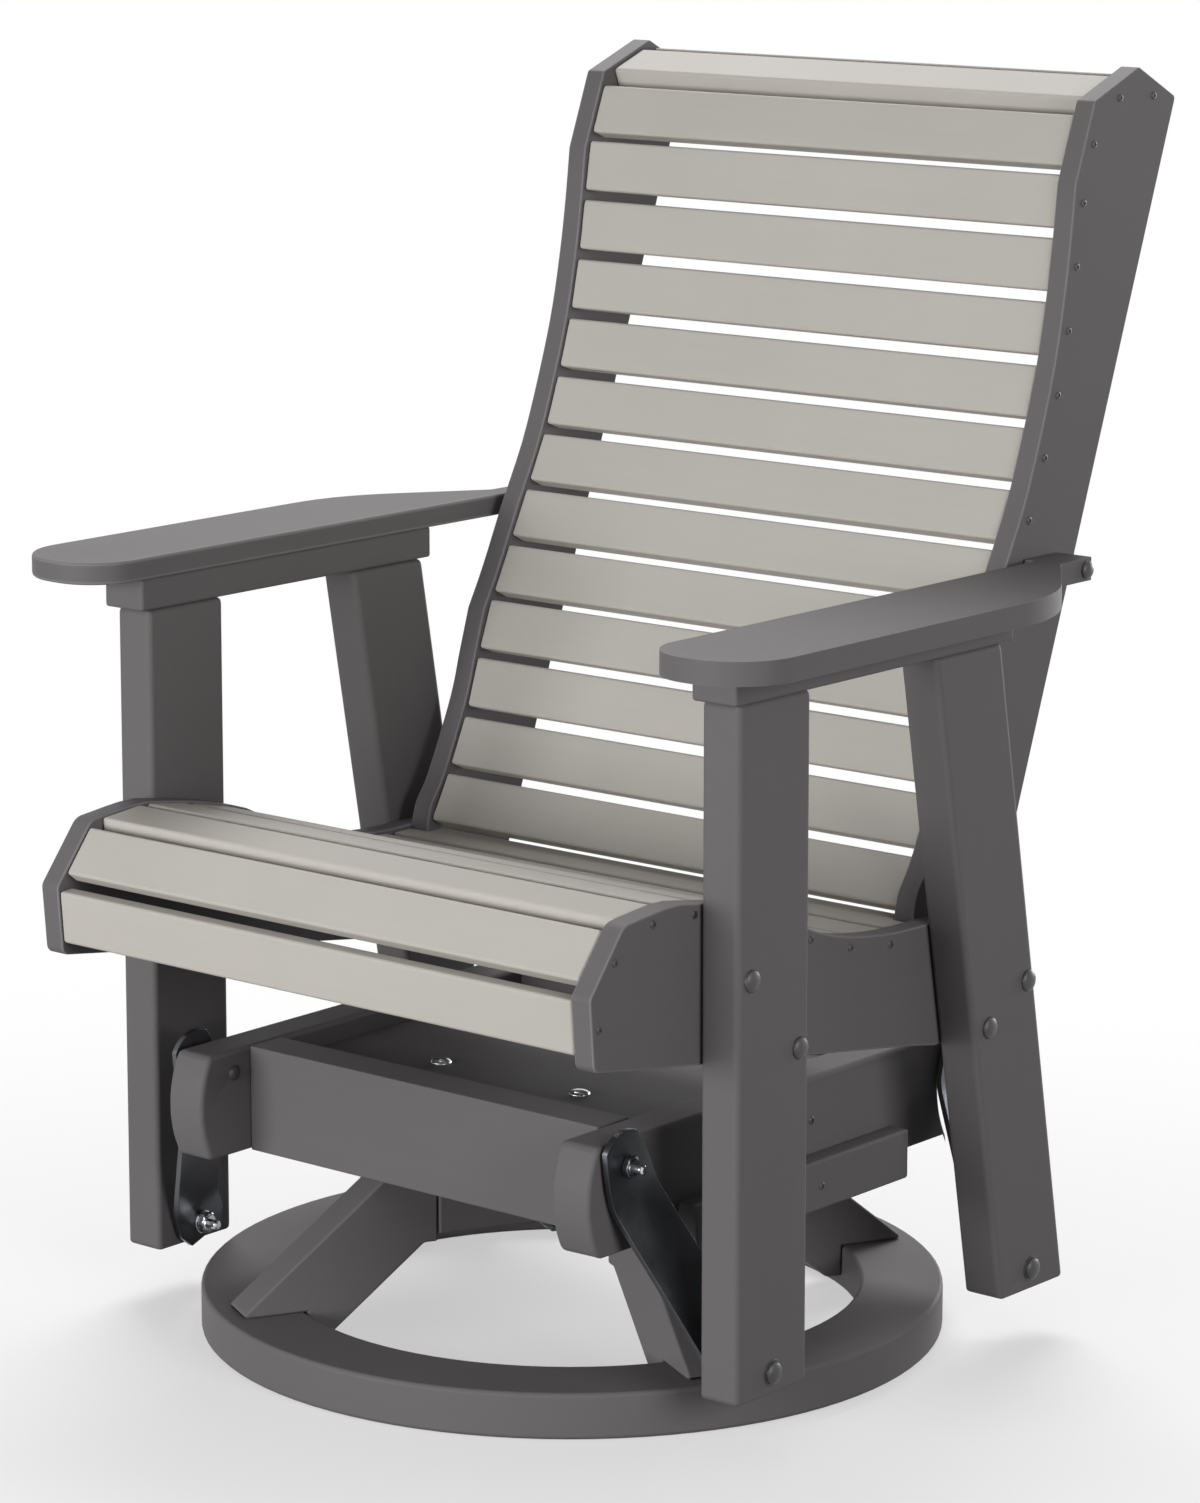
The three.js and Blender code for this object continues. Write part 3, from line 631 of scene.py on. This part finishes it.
def arm_strip(name, side, top, foot, near, far, body):
    """The strip from X = near at the top pivot to X = far at the foot, joggled in between."""
    length = (foot - top).length
    along = (foot - top) / length
    across = along.cross(X)
    bend_top, bend_foot = ARM_BEND_TOP, length - ARM_BEND_FOOT
    slope = (far - near) / (bend_foot - bend_top)
    form = bmesh.new()
    skins = []
    for depth in (0, ARM_PLATE):
        skin = []
        for run, half in arm_rows(length):
            first, first_slope = soft_ramp(run - bend_top)
            second, second_slope = soft_ramp(run - bend_foot)
            offset, lean = near + slope * (first - second), slope * (first_slope - second_slope)
            out = depth / math.hypot(1, lean)
            row = []
            for column in range(ARM_COLUMNS + 1):
                spot = top + along * (run - out * lean) + X * side * (offset + out)
                row.append(form.verts.new(spot + across * half * (2 * column / ARM_COLUMNS - 1)))
            skin.append(row)
        skins.append(skin)
    last = len(skins[0]) - 1
    rows, columns = range(last), range(ARM_COLUMNS)
    for skin in skins:
        for row in rows:
            for column in columns:
                a, b = skin[row][column:column + 2]
                d, c = skin[row + 1][column:column + 2]
                form.faces.new((a, b, c, d))
    rim = [((row, column), (row + 1, column)) for row in rows for column in (0, ARM_COLUMNS)]
    rim += [((row, column), (row, column + 1)) for column in columns for row in (0, last)]
    inner, outer = skins
    for (row, column), (next_row, next_column) in rim:
        form.faces.new((
            inner[row][column], inner[next_row][next_column],
            outer[next_row][next_column], outer[row][column],
        ))
    bmesh.ops.recalc_face_normals(form, faces=form.faces)
    strip = finished(name, form, body, BLACK, ARM_SHARP)
    edge = strip.modifiers.new("edge", "BEVEL")
    edge.width, edge.segments = ARM_ROUND, 2
    edge.limit_method, edge.angle_limit = "ANGLE", ARM_SHARP
    strip.modifiers.new("even", "WEIGHTED_NORMAL").weight = FULL_WEIGHT
    return strip


def reaches(node):
    """A node's least and greatest distance from the middle plane."""
    return sorted(abs(corner.x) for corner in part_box(node))


def swing_arm(end, name, side, top, foot, body):
    """One arm with what is on its two bolts, in place of the plain CAD arm."""
    away = X * side
    rail_inner, rail_outer = reaches(f"carriage_rail_{name}")
    post_inner, post_outer = reaches(f"{end}_post_{name}")
    near, far = rail_outer + ARM_SPACER, post_inner - ARM_SPACER - ARM_PLATE
    near_outer = near + ARM_PLATE
    label = f"{end}_{name}"
    strip = arm_strip(f"arm_strip_{label}", side, top, foot, near, far, body)
    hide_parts(f"swing_arm_{label}")

    def at(pivot, reach, direction):
        return Vector((side * reach, pivot.y, pivot.z)), direction

    washer = disc(PIVOT_WASHER_RADIUS, PIVOT_WASHER)
    rail_head = dome(RAIL_BOLT_RADIUS, RAIL_BOLT_HEIGHT)
    spacer = disc(SPACER_RADIUS, ARM_SPACER - TOUCH)
    flange = disc(FLANGE_RADIUS, FLANGE_THICKNESS)
    spacer_seats = [at(top, rail_outer + TOUCH, away), at(foot, post_inner - TOUCH, -away)]
    black, zinc = "black_steel", "zinc_steel"
    for part, rings, seats, slot, material in (
        ("foot_bearing", washer, [at(foot, post_outer, away)], black, BOLT),
        ("foot_head", dome(), [at(foot, post_outer + PIVOT_WASHER, away)], black, BOLT),
        ("top_head", rail_head, [at(top, rail_inner, -away)], black, BOLT),
        ("spacers", spacer, spacer_seats, zinc, ZINC),
        ("top_nut", lock_nut(), [at(top, near_outer, away)], black, BLACK),
        ("top_bolt", threaded_end(TOP_STUB), [at(top, near_outer + NUT_HEIGHT, away)], zinc, ZINC),
        ("foot_washer", flange, [at(foot, far, -away)], zinc, ZINC),
        ("foot_nut", lock_nut(), [at(foot, far - FLANGE_THICKNESS, -away)], zinc, ZINC),
        ("foot_bolt", threaded_end(FOOT_STUB), [at(foot, far - NUT_HEIGHT, -away)], zinc, ZINC),
    ):
        turned(f"arm_{part}_{label}", rings, seats, body, material)


FRONT_FOOT = PIVOTS["chair_pivot"]
REAR_FOOT = FRONT_FOOT + Vector((0, PIVOT_SPAN, 0))
plate_fasteners()
for side_name, side_sign in SIDES:
    board_fasteners(side_name, side_sign)
    swing_arm("front", side_name, side_sign, PIVOTS["glide"], FRONT_FOOT, "front_arms")
    swing_arm("rear", side_name, side_sign, PIVOTS["rear_arm_swing"], REAR_FOOT, "rear_arms")


# Floor, light and camera

WHITE = (1, 1, 1, 1)
FLOOR_SEEN = (0.80, 0.80, 0.80, 1)
FLOOR_BOUNCED = (0.08, 0.08, 0.08, 1)
FLOOR_RADIUS, FLOOR_SIDES, FLOOR_DROP = 9, 96, 0.0006
FLOOR_SHADOW_RADIUS, FLOOR_WHITE_RADIUS, FLOOR_LIFT = 0.3, 1.4, 0.50
SKY_STRENGTH = 0.12
AIM = Vector((0, 0, 0.45))
SOFTBOXES = (
    ("key", (-0.6, -4.0, 0.8), (3.0, 1.4), 155),
    ("rim", (-1.5, 1.8, 3.15), (2.5, 1.5), 120),
    ("fill", (3.8, -1.0, 1.4), (2.0, 1.4), 75),
    ("back", (0.4, 4.0, 0.8), (2.6, 1.2), 85),
)
CAMERA_PLACE, CAMERA_TILT, CAMERA_TURN = (2.64094, -3.18017, 1.33739), -10.122, 40.002
CAMERA_SENSOR, CAMERA_LENS, CAMERA_SHIFT = 36, 121.41, -0.1
CAMERA_CLIP = (0.1, 60)


def floor_material():
    """Pale floor that keeps the object's shadow, and is seen as white away from it."""
    material = bpy.data.materials.new("floor_white")
    n = Nodes(material)
    n.tree.nodes.remove(n.tree.nodes["Principled BSDF"])
    near = n.plain("ShaderNodeBsdfDiffuse", FLOOR_SEEN)
    bounced = n.plain("ShaderNodeBsdfDiffuse", FLOOR_BOUNCED)
    paper = n.plain("ShaderNodeEmission", WHITE)
    length = n.add("ShaderNodeVectorMath", operation="LENGTH")
    n.link(n.coordinates(), length.inputs[0])
    reach = n.add("ShaderNodeMapRange", interpolation_type="SMOOTHSTEP")
    reach.inputs["From Min"].default_value = FLOOR_SHADOW_RADIUS
    reach.inputs["From Max"].default_value = FLOOR_WHITE_RADIUS
    reach.inputs["To Min"].default_value = FLOOR_LIFT
    n.link(length.outputs["Value"], reach.inputs["Value"])
    shown = n.mix_shaders(reach.outputs["Result"], near, paper)
    surface = n.tree.nodes["Material Output"].inputs["Surface"]
    n.link(n.mix_shaders(n.seen(), bounced, shown), surface)
    return material


def studio_world():
    """A dim even light from all round, which is seen as white."""
    world = bpy.data.worlds.new("studio")
    n = Nodes(world)
    n.tree.nodes.remove(n.tree.nodes["Background"])
    dim = n.plain("ShaderNodeBackground", WHITE, SKY_STRENGTH)
    white = n.plain("ShaderNodeBackground", WHITE, 1.0)
    surface = n.tree.nodes["World Output"].inputs["Surface"]
    n.link(n.mix_shaders(n.seen(), dim, white), surface)
    return world


def softbox(name, position, size, watts):
    data = bpy.data.lights.new(name, "AREA")
    data.shape = "RECTANGLE"
    data.size, data.size_y = size
    data.energy = watts
    lamp = bpy.data.objects.new(name, data)
    SCENE.collection.objects.link(lamp)
    lamp.location = position
    lamp.rotation_euler = (AIM - Vector(position)).to_track_quat("-Z", "Y").to_euler()


bpy.ops.mesh.primitive_circle_add(vertices=FLOOR_SIDES, radius=FLOOR_RADIUS, fill_type="NGON")
floor = bpy.context.object
floor.name = "floor"
floor.location = (0, 0, -FLOOR_DROP)
floor.data.materials.append(floor_material())

SCENE.world = studio_world()
for lamp_settings in SOFTBOXES:
    softbox(*lamp_settings)

camera_data = bpy.data.cameras.new("camera")
camera_data.sensor_width = CAMERA_SENSOR
camera_data.lens = CAMERA_LENS
camera_data.shift_y = CAMERA_SHIFT
camera_data.clip_start, camera_data.clip_end = CAMERA_CLIP
camera = bpy.data.objects.new("camera", camera_data)
SCENE.collection.objects.link(camera)
SCENE.camera = camera
camera.location = CAMERA_PLACE
camera.rotation_euler = (math.radians(90 + CAMERA_TILT), 0, math.radians(CAMERA_TURN))

SCENE.view_settings.view_transform = "Standard"
